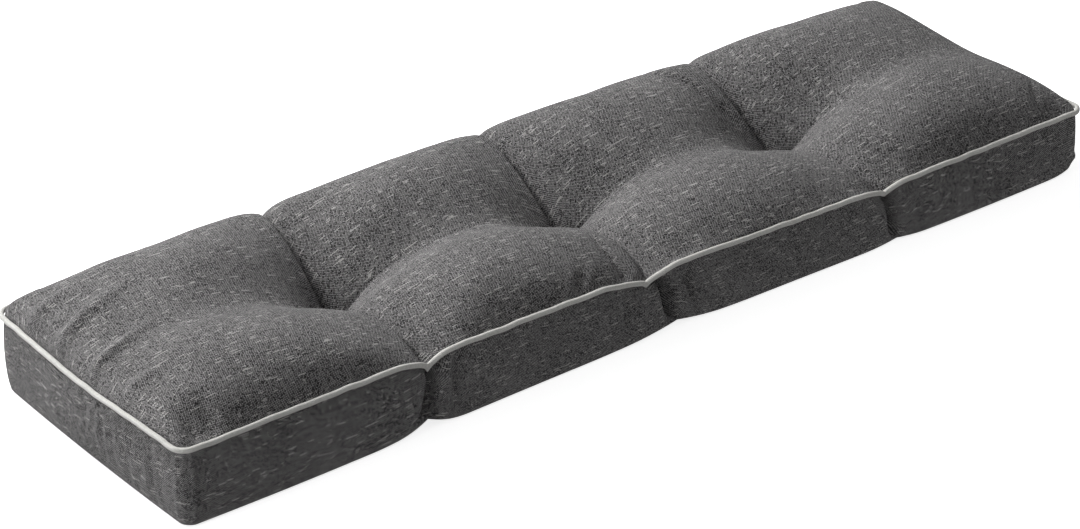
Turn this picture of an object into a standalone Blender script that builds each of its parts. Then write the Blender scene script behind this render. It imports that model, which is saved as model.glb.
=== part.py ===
"""A tufted bench cushion: one filled body with its crown, four lobes between three tufts,
drawn-in sides, and a welt (piping cord) sewn round its top seam.

Frame: metres, +Z up. X runs along the cushion, -Y is its front long side, and the origin lies
under its middle, on the surface that it rests on.

The body is a box of small faces, moved onto the filled shape. A point of the box is named by
three numbers: lobe, which runs from 0 at the -X end to 4 at the +X end with a crease at 1, 2
and 3; y across the cushion; and up, from 0 underneath to 1 on top.
"""
import bmesh
import bpy
import numpy as np
from mathutils import Vector

# ---------------------------------------------------------------- driving dimensions (metres)
LENGTH = 1.220            # along X, between the end seams
WIDTH = 0.350             # along Y, between the long seams
SEAM_HEIGHTS = (0.091, 0.080)   # of the top seam above the floor, at the -X and the +X end
SEAM_SAG = 0.006          # of the top seam below that line, in the +X half
FAR_END_SAG = 0.006       # of the +X end's seam, in its middle
BOTTOM_SEAM_HEIGHT = 0.003
FAR_CORNER_LIFT = 0.011   # of the bottom seam, at the two +X corners
CORNER_RADIUS = 0.013     # of the outline, seen from above
WELT_RADIUS = 0.003
WELT_GAP = 0.0007         # between the welt and the body

# The top panel's crown: a steep lip just inside the seam, then a softer rise. Along the front
# seam the lip is a long soft slope.
LIP_RISE, LIP_REACH, FRONT_LIP_REACH = 0.025, 0.011, 0.038
CROWN_RISES = (0.028, 0.026, 0.030, 0.038)      # of each lobe, from the -X end
CROWN_SIDE_REACH, CROWN_END_REACH = 0.038, 0.088
BACK_LIFT = 0.004         # the back half lies a little higher than the front half

# Outline, from above: how far each seam bows outwards midway between its corners.
END_BOW = 0.003
FRONT_BOW = -0.005        # the front seam is drawn in
BACK_BOW = 0.003
CENTRING = -0.0027        # in Y, so that the origin is under the middle of what the bows leave

# Boxing (the side strip): its swell between the seams.
END_BULGE = 0.004
SIDE_BULGE = 0.007
FOOT_SPREAD = 0.005       # of the bottom seam beyond the top one, in the first and last lobe

# Tufting: a pit at each tuft, sharp creases across to both long seams, soft valleys lengthwise.
# The creases reach so far that the lobes between them are round domes.
PIT_DEPTH = 0.080
PIT_FALL = 1.2            # how fast a cross crease climbs from the pit to the seam
CREASE_REACH_AT_TUFT = 0.320
CREASE_REACH_AT_SEAM = 0.270
FRONT_CREASE_SHARE = 0.85       # of the crown, that the crease takes where it meets the seam
BACK_CREASE_SHARE = 0.08
VALLEY_DEPTH = 0.012      # midway between two tufts
VALLEY_FADE = 0.098       # how far from a tuft the valley is deep
VALLEY_REACH = 0.136
UNDERSIDE_PIT = 0.020     # the same tufts, seen from below
UNDERSIDE_REACH = 0.055

# One row for each tuft, from the -X end.
#         tuft_x  tuft_y
TUFTS = (
    (-0.306, 0.008),
    (-0.002, -0.002),
    (0.303, -0.002),
)
# One row for each pinch that a tuft makes in a long side, from the -X end: where it is on the
# top seam, where the boxing's fold starts below it and where the fold meets the bottom seam; its
# reach along the seam towards -X and towards +X; how far the top seam drops and is drawn in;
# how deep the boxing's fold is; and how far the bottom seam is lifted off the floor.
#         seam_x  fold_x  foot_x  left   right  drop   inset  fold   lift
FRONT_PINCHES = (
    (-0.308, -0.286, -0.309, 0.044, 0.030, 0.015, 0.006, 0.022, 0.009),
    (-0.021, 0.020, 0.026, 0.080, 0.060, 0.016, 0.006, 0.020, 0.005),
    (0.316, 0.334, 0.338, 0.055, 0.040, 0.010, 0.005, 0.016, 0.001),
)
BACK_PINCHES = (
    (-0.290, -0.288, -0.292, 0.046, 0.046, 0.007, 0.006, 0.014, 0.004),
    (0.000, 0.000, 0.004, 0.042, 0.042, 0.005, 0.005, 0.014, 0.004),
    (0.300, 0.300, 0.300, 0.044, 0.044, 0.004, 0.006, 0.014, 0.004),
)
SEAM_X, FOLD_X, FOOT_X, LEFT, RIGHT, DROP, INSET, FOLD, LIFT = range(9)
FOLD_REACH = 0.55         # of the boxing's folds, as a share of the pinch's reach
LIFT_REACH = 1.7          # the same, of the lifted bottom seam
FOLD_LEAN = 0.5           # how far a fold slants under the lobe on its -X side, times its depth

# The underside lies flat on the floor over a plain rectangle, and rolls up to its seam outside it.
REST_LENGTH = 1.120
REST_WIDTH = 0.262

# ---------------------------------------------------------------- the box's divisions
CELL_STEPS = 18           # faces along one lobe
STRAIGHT_PART = 0.3       # of the first and the last lobe, whose divisions run straight across
HALF_WIDTH_STEPS = 12     # faces from the middle to a long seam
BOXING_STEPS = 5
CREASE_CROWDING = 0.85    # 0 is even steps, 1 crowds them most towards the creases
SEAM_CROWDING = 0.65      # the same, towards the middle and the long seams

COVER_GREY = (0.075, 0.072, 0.070, 1.0)
WELT_GREY = (0.62, 0.61, 0.57, 1.0)


# ---------------------------------------------------------------- small shape functions
def cusp(t):
    """1 in a crease and 0 on the full lobe beside it: round shoulders and a sharp bottom."""
    t = np.minimum(np.abs(t), 1.0)
    return 1.0 - np.sqrt(t * (2.0 - t))


def bell(t):
    """1 at the middle and 0 from t = 1 on, smooth at both."""
    t = np.minimum(np.abs(t), 1.0)
    return (1.0 - t) ** 2 * (1.0 + 2.0 * t)


def notch(t):
    """1 at a pinch and 0 from t = 1 on: two arcs that meet in a point."""
    return (1.0 - np.minimum(np.abs(t), 1.0)) ** 2


def rise(distance, reach):
    return 1.0 - np.exp(-np.maximum(distance, 0.0) / reach)


def mix(low, high, t):
    return low + (high - low) * t


def crowded(steps, crowding):
    """0 to nearly 1 in a number of steps, crowded towards both ends."""
    even = np.arange(steps) / steps
    return mix(even, 0.5 - 0.5 * np.cos(np.pi * even), crowding)


def smooth_largest(values):
    return sum(np.maximum(value, 0.0) ** 5 for value in values) ** 0.2


def across(y):
    """0 along the middle of the cushion and 1 at both long seams."""
    return np.abs(y) / (WIDTH / 2)


def along(x):
    return np.abs(x) / (LENGTH / 2)


def past_rest(distance, rest_size, size):
    """0 up to the edge of the resting rectangle and 1 at the seam."""
    past = (np.abs(distance) - rest_size / 2) / ((size - rest_size) / 2)
    return np.clip(past, 0.0, 1.0)


# ---------------------------------------------------------------- the tufting's lines
def pinch_x(row, up):
    """Where a pinch runs: from its foot up the boxing's fold, then over to its seam_x."""
    fold_x = mix(row[FOOT_X], row[FOLD_X], up)
    return mix(fold_x, row[SEAM_X], up**5)


def pinched(x, y, up, amount, reach_share=1.0):
    """One column of the pinches' tables, fading over each pinch's reach along its long side."""
    totals = []
    for rows in (FRONT_PINCHES, BACK_PINCHES):
        total = np.zeros_like(x)
        for row in rows:
            past = x - pinch_x(row, up)
            reach = np.where(past < 0, row[LEFT], row[RIGHT]) * reach_share
            total = total + row[amount] * notch(past / reach)
        totals.append(total)
    return np.where(y > 0, totals[1], totals[0])


def crease_x(number, y, up):
    """Where a tuft's cross crease runs, at y across the top panel or the underside."""
    front, back = pinch_x(FRONT_PINCHES[number], up), pinch_x(BACK_PINCHES[number], up)
    return mix(TUFTS[number][0], np.where(y > 0, back, front), across(y))


# ---------------------------------------------------------------- the outline, from above
def lobe_x(lobe, y, up):
    """X of a point that lies lobe lobes from the -X end, before the corners are rounded."""
    ends = (-LENGTH / 2, LENGTH / 2)
    last = len(TUFTS) + 1
    knots = [0.0, STRAIGHT_PART, *range(1, last), last - STRAIGHT_PART, last]
    lines = [crease_x(number, y, up) for number in range(len(TUFTS))]
    lines.insert(0, mix(ends[0], TUFTS[0][0], STRAIGHT_PART))
    lines.append(mix(ends[1], TUFTS[-1][0], STRAIGHT_PART))
    lines = [ends[0], *lines, ends[1]]
    x = np.full_like(y, ends[0])
    for number in range(len(knots) - 1):
        part = np.clip((lobe - knots[number]) / (knots[number + 1] - knots[number]), 0.0, 1.0)
        x = x + (lines[number + 1] - lines[number]) * part
    return x


def round_corner(x, y):
    """Turns the square corners of the panel into quarter circles."""
    past_x = np.maximum(np.abs(x) - (LENGTH / 2 - CORNER_RADIUS), 0.0) / CORNER_RADIUS
    past_y = np.maximum(np.abs(y) - (WIDTH / 2 - CORNER_RADIUS), 0.0) / CORNER_RADIUS
    inward_x = CORNER_RADIUS * past_x * (1.0 - np.sqrt(1.0 - past_y**2 / 2))
    inward_y = CORNER_RADIUS * past_y * (1.0 - np.sqrt(1.0 - past_x**2 / 2))
    return x - np.sign(x) * inward_x, y - np.sign(y) * inward_y


def outline(x, y, up):
    """X and Y of the filled cushion: rounded corners, bowed seams and the pinches' insets."""
    to_end = END_BOW * past_rest(x, REST_LENGTH, LENGTH) ** 2 * (1.0 - across(y) ** 2)
    bow = np.where(y > 0, BACK_BOW, FRONT_BOW) * (1.0 - along(x) ** 4)
    foot = FOOT_SPREAD * (1.0 - up) * np.sin(np.pi * along(x) ** 2)
    to_side = (bow + foot - pinched(x, y, up, INSET)) * past_rest(y, REST_WIDTH, WIDTH) ** 2
    rounded_x, rounded_y = round_corner(x, y)
    return rounded_x + np.sign(x) * to_end, rounded_y + np.sign(y) * to_side


# ---------------------------------------------------------------- the three cloth surfaces
def edge_distance(x, y):
    """How far a panel point lies from the nearer seam, in reaches of that seam's lip."""
    from_end = np.maximum(LENGTH / 2 - np.abs(x), 1e-6) / LIP_REACH
    side_reach = np.where(y > 0, LIP_REACH, FRONT_LIP_REACH)
    from_side = np.maximum(WIDTH / 2 - np.abs(y), 1e-6) / side_reach
    return (from_end**-4 + from_side**-4) ** -0.25


def seam_height(x, y):
    """Height of the top seam, carried on across the panel."""
    level = mix(*SEAM_HEIGHTS, x / LENGTH + 0.5)
    sag = SEAM_SAG * np.sin(np.pi * np.clip(2 * x / LENGTH, 0.0, 1.0))
    drop = pinched(x, y, 1.0, DROP) * across(y) ** 3
    lift = np.where(y > 0, BACK_LIFT, 0.0) * across(y) ** 2 * (1.0 - along(x) ** 4)
    end_sag = np.where(x > 0, FAR_END_SAG, 0.0) * along(x) ** 16 * (1.0 - across(y) ** 2)
    return level - sag - drop + lift - end_sag


def tuft_depth(x, y, crown):
    """How far the tufting pulls the top panel below its crown."""
    share = np.where(y > 0, BACK_CREASE_SHARE, FRONT_CREASE_SHARE)
    at_crease = share * crown * across(y) + PIT_DEPTH * (1.0 - across(y)) ** PIT_FALL
    reach = mix(CREASE_REACH_AT_TUFT, CREASE_REACH_AT_SEAM, across(y))
    depths = []
    for number, (tuft_x, tuft_y) in enumerate(TUFTS):
        depths.append(at_crease * cusp((x - crease_x(number, y, 1.0)) / reach))
        beside = (y - tuft_y) / VALLEY_REACH
        softened = rise(np.abs(x - tuft_x), VALLEY_FADE)
        depths.append(PIT_DEPTH * (1.0 - softened) * mix(cusp(beside), bell(beside), softened))
    inside = rise(LENGTH / 2 - np.abs(x), VALLEY_FADE)
    depths.append(VALLEY_DEPTH * inside * bell(y / VALLEY_REACH))
    return smooth_largest(depths)


def top_height(x, y):
    from_end, from_side = LENGTH / 2 - np.abs(x), WIDTH / 2 - np.abs(y)
    lip = LIP_RISE * rise(edge_distance(x, y), 1.0)
    lobe_middles = LENGTH / 4 * (np.arange(len(CROWN_RISES)) - 1.5)
    crown_rise = np.interp(x, lobe_middles, CROWN_RISES)
    crown = lip + crown_rise * rise(from_end, CROWN_END_REACH) * rise(from_side, CROWN_SIDE_REACH)
    return seam_height(x, y) + crown - tuft_depth(x, y, crown)


def underside_height(x, y):
    """0 where the cushion rests; its tufting is pulled up less than on top."""
    past_end = past_rest(x, REST_LENGTH, LENGTH)
    past_side = past_rest(y, REST_WIDTH, WIDTH)
    height = BOTTOM_SEAM_HEIGHT * np.maximum(past_end, past_side)
    height = height + pinched(x, y, 0.0, LIFT, LIFT_REACH) * across(y) ** 6
    height = height + np.where(x > 0, FAR_CORNER_LIFT, 0.0) * (past_end * across(y)) ** 3
    depth = UNDERSIDE_PIT * (1.0 - across(y)) ** PIT_FALL + BOTTOM_SEAM_HEIGHT * across(y)
    reach = mix(UNDERSIDE_REACH, UNDERSIDE_REACH / 3, across(y))
    for number in range(len(TUFTS)):
        height = np.maximum(height, depth * cusp((x - crease_x(number, y, 0.0)) / reach))
    return height


def boxing_fold(x, y, up):
    """How deep the boxing is folded in by the pinches."""
    return pinched(x, y, up, FOLD, FOLD_REACH) * np.sqrt(np.sin(np.pi * up))


def body_points(lobe, y, up):
    """Where points of the flat-sided box lie on the filled cushion, as rows of X, Y, Z."""
    x = lobe_x(lobe, y, up)
    z = mix(underside_height(x, y), top_height(x, y), up)
    plan_x, plan_y = outline(x, y, up)
    end = np.where(lobe <= 0, -1.0, np.where(lobe >= len(TUFTS) + 1, 1.0, 0.0))
    side = np.where(np.abs(y) > WIDTH / 2 - 1e-6, np.sign(y), 0.0)
    swell = np.where((up > 0) & (up < 1), np.sin(np.pi * up), 0.0)
    fold = np.where(swell > 0, boxing_fold(x, y, np.clip(up, 0.0, 1.0)), 0.0)
    plan_x = plan_x + end * END_BULGE * swell - np.abs(side) * FOLD_LEAN * fold
    plan_y = plan_y + side * (SIDE_BULGE * swell - fold) + CENTRING
    return np.stack([plan_x, plan_y, z], axis=-1)


# ---------------------------------------------------------------- building the objects
def fabric(name, colour):
    material = bpy.data.materials.new(name)
    material.use_nodes = True
    shader = material.node_tree.nodes["Principled BSDF"]
    shader.inputs["Base Color"].default_value = colour
    shader.inputs["Roughness"].default_value = 0.9
    shader.inputs["Metallic"].default_value = 0.0
    return material


def cut_grid(mesh, axis, stations):
    """Cuts the box across one axis at each station."""
    normal = Vector([1.0 if i == axis else 0.0 for i in range(3)])
    for station in stations:
        everything = mesh.verts[:] + mesh.edges[:] + mesh.faces[:]
        bmesh.ops.bisect_plane(mesh, geom=everything, plane_co=normal * station, plane_no=normal)


def lobe_stations():
    """The box's divisions along X, in lobes from the -X end, without the two ends."""
    one_lobe = crowded(CELL_STEPS, CREASE_CROWDING)
    return np.concatenate([one_lobe + number for number in range(len(TUFTS) + 1)])[1:]


def side_stations():
    """The box's divisions along Y, without the two long sides."""
    half = WIDTH / 2 * crowded(HALF_WIDTH_STEPS, SEAM_CROWDING)
    return np.concatenate([-half[:0:-1], half])


def make_body(collection):
    mesh = bmesh.new()
    bmesh.ops.create_cube(mesh, size=1.0)
    for vertex in mesh.verts:
        lobe = (vertex.co.x + 0.5) * (len(TUFTS) + 1)
        vertex.co = Vector((lobe, vertex.co.y * WIDTH, vertex.co.z + 0.5))
    cut_grid(mesh, 0, lobe_stations())
    cut_grid(mesh, 1, side_stations())
    cut_grid(mesh, 2, [step / BOXING_STEPS for step in range(1, BOXING_STEPS)])
    box = np.array([vertex.co for vertex in mesh.verts])
    for vertex, point in zip(mesh.verts, body_points(*box.T)):
        vertex.co = point
    data = bpy.data.meshes.new("cushion_body")
    mesh.to_mesh(data)
    mesh.free()
    data.shade_smooth()
    data.materials.append(fabric("cover_cloth", COVER_GREY))
    body = bpy.data.objects.new("cushion_body", data)
    collection.objects.link(body)
    return body


def seam_loop():
    """The body's points along the top seam, once round."""
    lobes = np.concatenate([[0.0], lobe_stations(), [len(TUFTS) + 1.0]])
    ys = np.concatenate([[-WIDTH / 2], side_stations(), [WIDTH / 2]])
    front = [(lobe, ys[0]) for lobe in lobes[:-1]]
    far_end = [(lobes[-1], y) for y in ys[:-1]]
    back = [(lobe, ys[-1]) for lobe in lobes[:0:-1]]
    near_end = [(lobes[0], y) for y in ys[:0:-1]]
    lobe, y = np.array(front + far_end + back + near_end).T
    return body_points(lobe, y, np.ones_like(y))


def make_welt(collection):
    seam = seam_loop()
    direction = np.roll(seam, -1, axis=0) - np.roll(seam, 1, axis=0)
    outward = np.stack([direction[:, 1], -direction[:, 0], np.zeros(len(seam))], axis=1)
    outward /= np.linalg.norm(outward, axis=1, keepdims=True)
    outward += (0.0, 0.0, 0.35)
    outward /= np.linalg.norm(outward, axis=1, keepdims=True)
    centres = seam + outward * (WELT_RADIUS + WELT_GAP)
    curve = bpy.data.curves.new("welt", "CURVE")
    curve.dimensions = "3D"
    curve.bevel_depth = WELT_RADIUS
    curve.bevel_resolution = 1
    spline = curve.splines.new("POLY")
    spline.points.add(len(centres) - 1)
    spline.use_cyclic_u = True
    for point, centre in zip(spline.points, centres):
        point.co = (*centre, 1.0)
    curve.materials.append(fabric("welt_cloth", WELT_GREY))
    welt = bpy.data.objects.new("welt", curve)
    collection.objects.link(welt)
    return welt


def main():
    for old in list(bpy.data.objects):
        bpy.data.objects.remove(old)
    collection = bpy.data.collections.new("bench_cushion")
    bpy.context.scene.collection.children.link(collection)
    make_body(collection)
    make_welt(collection)


main()
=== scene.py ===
# %% [markdown]
# # A tufted bench cushion, dressed
#
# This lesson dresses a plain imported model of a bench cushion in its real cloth. The cushion is
# a long box cushion in dark grey melange cloth. An off-white welt, which is a cord in a cloth
# cover, is sewn round its top seam, and three tufts pull its top down into pits.
#
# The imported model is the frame: it says where everything is, in metres. Each cell below makes
# one thing, and prints what it made.

# %% Load the frame
import math

import bpy
import numpy as np
from mathutils import Matrix, Vector


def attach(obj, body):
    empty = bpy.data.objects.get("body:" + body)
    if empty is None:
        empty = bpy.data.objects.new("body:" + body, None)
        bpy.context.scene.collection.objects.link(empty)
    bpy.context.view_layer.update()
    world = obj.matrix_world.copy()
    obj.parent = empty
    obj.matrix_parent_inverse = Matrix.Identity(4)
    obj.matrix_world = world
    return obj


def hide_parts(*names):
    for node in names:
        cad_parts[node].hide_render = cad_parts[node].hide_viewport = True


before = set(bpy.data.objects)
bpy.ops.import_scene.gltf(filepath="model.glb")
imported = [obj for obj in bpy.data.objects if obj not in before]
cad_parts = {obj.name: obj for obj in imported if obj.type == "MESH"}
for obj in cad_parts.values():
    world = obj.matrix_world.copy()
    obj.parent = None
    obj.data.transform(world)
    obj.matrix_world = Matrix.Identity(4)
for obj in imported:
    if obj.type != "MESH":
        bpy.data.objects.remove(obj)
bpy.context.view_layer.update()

# %% [markdown]
# ## The camera
#
# A camera is easiest to place by what a photographer would say: how far round the cushion it
# stands, how far above, how far away, and how long its lens is. The long lens keeps the two long
# sides nearly parallel. It was chosen first, so that every shape below can be judged from it.

# %% Camera
CAMERA_AROUND = math.radians(-36.98)
CAMERA_ABOVE = math.radians(29.30)
CAMERA_ROLL = math.radians(-0.76)
CAMERA_DISTANCE = 4.350
CAMERA_AIM = Vector((-0.0110, 0.0293, 0.003))
LENS_MM = 130.6


def put_in_scene(name, data):
    thing = bpy.data.objects.new(name, data)
    bpy.context.scene.collection.objects.link(thing)
    return thing


camera_data = bpy.data.cameras.new("camera")
camera_data.sensor_width = 36.0
camera_data.lens = LENS_MM
camera = put_in_scene("camera", camera_data)
bpy.context.scene.camera = camera

backward = Vector((math.sin(CAMERA_AROUND) * math.cos(CAMERA_ABOVE),
                   -math.cos(CAMERA_AROUND) * math.cos(CAMERA_ABOVE),
                   math.sin(CAMERA_ABOVE)))
level_right = (-backward).cross(Vector((0, 0, 1))).normalized()
level_up = level_right.cross(-backward)
right = level_right * math.cos(CAMERA_ROLL) + level_up * math.sin(CAMERA_ROLL)
upward = level_up * math.cos(CAMERA_ROLL) - level_right * math.sin(CAMERA_ROLL)
camera.location = CAMERA_AIM + backward * CAMERA_DISTANCE
camera.rotation_euler = Matrix((right, upward, backward)).transposed().to_euler()
print("camera at", [round(c, 3) for c in camera.location], "with a lens of", LENS_MM, "mm")

# %% [markdown]
# ## The cushion's form
#
# A filled box cushion could be sculpted by hand, or blown up by a cloth simulation. Here its form
# is first written down as a few height functions, because the seams, pits and creases then stand
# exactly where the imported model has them. A point of the cover is named by three numbers: lobe,
# which runs from 0 at the -X end to 4 at the +X end with a crease at 1, 2 and 3; y across the
# cushion; and up, from 0 underneath to 1 on top.

# %% Sizes of the cushion, in metres
LENGTH, WIDTH = 1.220, 0.350          # between the seams
SEAM_HEIGHTS = (0.091, 0.080)         # of the top seam, at the -X and the +X end
SEAM_SAG, FAR_END_SAG = 0.006, 0.006
BOTTOM_SEAM_HEIGHT, FAR_CORNER_LIFT = 0.003, 0.011
CORNER_RADIUS = 0.013
# The top panel's rise, just inside the seam: steep, but a long soft slope along the front.
LIP_RISE, LIP_REACH, FRONT_LIP_REACH = 0.025, 0.011, 0.038
CROWN_RISES = (0.028, 0.026, 0.030, 0.038)
CROWN_SIDE_REACH, CROWN_END_REACH = 0.038, 0.088
BACK_LIFT = 0.004
END_BOW, FRONT_BOW, BACK_BOW, CENTRING = 0.003, -0.005, 0.003, -0.0027
END_BULGE, SIDE_BULGE, FOOT_SPREAD = 0.004, 0.007, 0.005
PIT_DEPTH, PIT_FALL = 0.080, 1.2
CREASE_REACH_AT_TUFT, CREASE_REACH_AT_SEAM = 0.320, 0.270
FRONT_CREASE_SHARE, BACK_CREASE_SHARE = 0.85, 0.08
VALLEY_DEPTH, VALLEY_FADE, VALLEY_REACH = 0.012, 0.098, 0.136
UNDERSIDE_PIT, UNDERSIDE_REACH = 0.020, 0.055
REST_LENGTH, REST_WIDTH = 1.120, 0.262     # the flat part of the underside
TUFTS = ((-0.306, 0.008), (-0.002, -0.002), (0.303, -0.002))
LOBES = len(TUFTS) + 1
STRAIGHT_PART = 0.3

# One row for each pinch that a tuft makes in a long side.
#         seam_x  fold_x  foot_x  left   right  drop   inset  fold   lift
FRONT_PINCHES = (
    (-0.308, -0.286, -0.309, 0.044, 0.030, 0.015, 0.006, 0.022, 0.009),
    (-0.021, 0.020, 0.026, 0.080, 0.060, 0.016, 0.006, 0.020, 0.005),
    (0.316, 0.334, 0.338, 0.055, 0.040, 0.010, 0.005, 0.016, 0.001),
)
BACK_PINCHES = (
    (-0.290, -0.288, -0.292, 0.046, 0.046, 0.007, 0.006, 0.014, 0.004),
    (0.000, 0.000, 0.004, 0.042, 0.042, 0.005, 0.005, 0.014, 0.004),
    (0.300, 0.300, 0.300, 0.044, 0.044, 0.004, 0.006, 0.014, 0.004),
)
SEAM_X, FOLD_X, FOOT_X, LEFT, RIGHT, DROP, INSET, FOLD, LIFT = range(9)
FOLD_REACH, LIFT_REACH, FOLD_LEAN = 0.55, 1.7, 0.5
print("cushion between its seams:", LENGTH, "x", WIDTH, "m, with", len(TUFTS), "tufts")


# %% Small shape functions
def cusp(t):
    """1 in a crease and 0 on the full lobe beside it: round shoulders and a sharp bottom."""
    t = np.minimum(np.abs(t), 1.0)
    return 1.0 - np.sqrt(t * (2.0 - t))


def bell(t):
    """1 at the middle and 0 from t = 1 on, smooth at both."""
    t = np.minimum(np.abs(t), 1.0)
    return (1.0 - t) ** 2 * (1.0 + 2.0 * t)


def notch(t):
    """1 at a pinch and 0 from t = 1 on: two arcs that meet in a point."""
    return (1.0 - np.minimum(np.abs(t), 1.0)) ** 2


def rise(distance, reach):
    return 1.0 - np.exp(-np.maximum(distance, 0.0) / reach)


def mix(low, high, t):
    return low + (high - low) * t


def smooth_step(t):
    t = np.clip(t, 0.0, 1.0)
    return t * t * (3.0 - 2.0 * t)


def crowded(steps, crowding):
    """0 to nearly 1 in a number of steps, crowded towards both ends."""
    even = np.arange(steps) / steps
    return mix(even, 0.5 - 0.5 * np.cos(np.pi * even), crowding)


def smooth_largest(values):
    return sum(np.maximum(value, 0.0) ** 5 for value in values) ** 0.2


def across(y):
    return np.abs(y) / (WIDTH / 2)


def along(x):
    return np.abs(x) / (LENGTH / 2)


def past_rest(distance, rest_size, size):
    """0 up to the edge of the flat part underneath and 1 at the seam."""
    past = (np.abs(distance) - rest_size / 2) / ((size - rest_size) / 2)
    return np.clip(past, 0.0, 1.0)


print("a quarter of the way out:", [round(float(shape(0.25)), 2) for shape in (cusp, bell, notch)])


# %% The tufting's lines
def pinch_x(row, up):
    """Where a pinch runs: from its foot up the boxing's fold, then over to its seam_x."""
    fold_x = mix(row[FOOT_X], row[FOLD_X], up)
    return mix(fold_x, row[SEAM_X], up**5)


def pinched(x, y, up, amount, reach_share=1.0):
    """One column of the pinches' tables, fading over each pinch's reach along its long side."""
    totals = []
    for rows in (FRONT_PINCHES, BACK_PINCHES):
        total = np.zeros_like(x)
        for row in rows:
            past = x - pinch_x(row, up)
            reach = np.where(past < 0, row[LEFT], row[RIGHT]) * reach_share
            total = total + row[amount] * notch(past / reach)
        totals.append(total)
    return np.where(y > 0, totals[1], totals[0])


def crease_x(number, y, up):
    """Where a tuft's cross crease runs, at y across the top panel or the underside."""
    front, back = pinch_x(FRONT_PINCHES[number], up), pinch_x(BACK_PINCHES[number], up)
    return mix(TUFTS[number][0], np.where(y > 0, back, front), across(y))


def lobe_x(lobe, y, up):
    """X of a point that lies lobe lobes from the -X end, before the corners are rounded."""
    ends = (-LENGTH / 2, LENGTH / 2)
    knots = [0.0, STRAIGHT_PART, *range(1, LOBES), LOBES - STRAIGHT_PART, LOBES]
    lines = [ends[0], mix(ends[0], TUFTS[0][0], STRAIGHT_PART),
             *[crease_x(number, y, up) for number in range(len(TUFTS))],
             mix(ends[1], TUFTS[-1][0], STRAIGHT_PART), ends[1]]
    x = np.full_like(y, ends[0])
    for number in range(len(knots) - 1):
        part = np.clip((lobe - knots[number]) / (knots[number + 1] - knots[number]), 0.0, 1.0)
        x = x + (lines[number + 1] - lines[number]) * part
    return x


print("creases meet the front seam at x:", pinch_x(np.array(FRONT_PINCHES).T, 1.0).round(3))


# %% The outline, from above
def round_corner(x, y):
    """Turns the square corners of the panel into quarter circles."""
    past_x = np.maximum(np.abs(x) - (LENGTH / 2 - CORNER_RADIUS), 0.0) / CORNER_RADIUS
    past_y = np.maximum(np.abs(y) - (WIDTH / 2 - CORNER_RADIUS), 0.0) / CORNER_RADIUS
    inward_x = CORNER_RADIUS * past_x * (1.0 - np.sqrt(1.0 - past_y**2 / 2))
    inward_y = CORNER_RADIUS * past_y * (1.0 - np.sqrt(1.0 - past_x**2 / 2))
    return x - np.sign(x) * inward_x, y - np.sign(y) * inward_y


def outline(x, y, up):
    """X and Y of the filled cushion: rounded corners, bowed seams and the pinches' insets."""
    to_end = END_BOW * past_rest(x, REST_LENGTH, LENGTH) ** 2 * (1.0 - across(y) ** 2)
    bow = np.where(y > 0, BACK_BOW, FRONT_BOW) * (1.0 - along(x) ** 4)
    foot = FOOT_SPREAD * (1.0 - up) * np.sin(np.pi * along(x) ** 2)
    to_side = (bow + foot - pinched(x, y, up, INSET)) * past_rest(y, REST_WIDTH, WIDTH) ** 2
    rounded_x, rounded_y = round_corner(x, y)
    return rounded_x + np.sign(x) * to_end, rounded_y + np.sign(y) * to_side


near_corner = outline(np.array(-LENGTH / 2), np.array(-WIDTH / 2), 1.0)
print("near corner of the top seam:", np.round(near_corner, 4))


# %% The three cloth surfaces
def edge_distance(x, y):
    """How far a panel point lies from the nearer seam, in reaches of that seam's lip."""
    from_end = np.maximum(LENGTH / 2 - np.abs(x), 1e-6) / LIP_REACH
    side_reach = np.where(y > 0, LIP_REACH, FRONT_LIP_REACH)
    from_side = np.maximum(WIDTH / 2 - np.abs(y), 1e-6) / side_reach
    return (from_end**-4 + from_side**-4) ** -0.25


def seam_height(x, y):
    """Height of the top seam, carried on across the panel."""
    level = mix(*SEAM_HEIGHTS, x / LENGTH + 0.5)
    sag = SEAM_SAG * np.sin(np.pi * np.clip(2 * x / LENGTH, 0.0, 1.0))
    drop = pinched(x, y, 1.0, DROP) * across(y) ** 3
    lift = np.where(y > 0, BACK_LIFT, 0.0) * across(y) ** 2 * (1.0 - along(x) ** 4)
    end_sag = np.where(x > 0, FAR_END_SAG, 0.0) * along(x) ** 16 * (1.0 - across(y) ** 2)
    return level - sag - drop + lift - end_sag


def tuft_depth(x, y, crown):
    """How far the tufting pulls the top panel below its crown."""
    share = np.where(y > 0, BACK_CREASE_SHARE, FRONT_CREASE_SHARE)
    at_crease = share * crown * across(y) + PIT_DEPTH * (1.0 - across(y)) ** PIT_FALL
    reach = mix(CREASE_REACH_AT_TUFT, CREASE_REACH_AT_SEAM, across(y))
    depths = []
    for number, (tuft_x, tuft_y) in enumerate(TUFTS):
        depths.append(at_crease * cusp((x - crease_x(number, y, 1.0)) / reach))
        beside = (y - tuft_y) / VALLEY_REACH
        softened = rise(np.abs(x - tuft_x), VALLEY_FADE)
        depths.append(PIT_DEPTH * (1.0 - softened) * mix(cusp(beside), bell(beside), softened))
    inside = rise(LENGTH / 2 - np.abs(x), VALLEY_FADE)
    depths.append(VALLEY_DEPTH * inside * bell(y / VALLEY_REACH))
    return smooth_largest(depths)


def top_height(x, y):
    from_end, from_side = LENGTH / 2 - np.abs(x), WIDTH / 2 - np.abs(y)
    lip = LIP_RISE * rise(edge_distance(x, y), 1.0)
    lobe_middles = LENGTH / 4 * (np.arange(len(CROWN_RISES)) - 1.5)
    crown_rise = np.interp(x, lobe_middles, CROWN_RISES)
    crown = lip + crown_rise * rise(from_end, CROWN_END_REACH) * rise(from_side, CROWN_SIDE_REACH)
    return seam_height(x, y) + crown - tuft_depth(x, y, crown)


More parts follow.
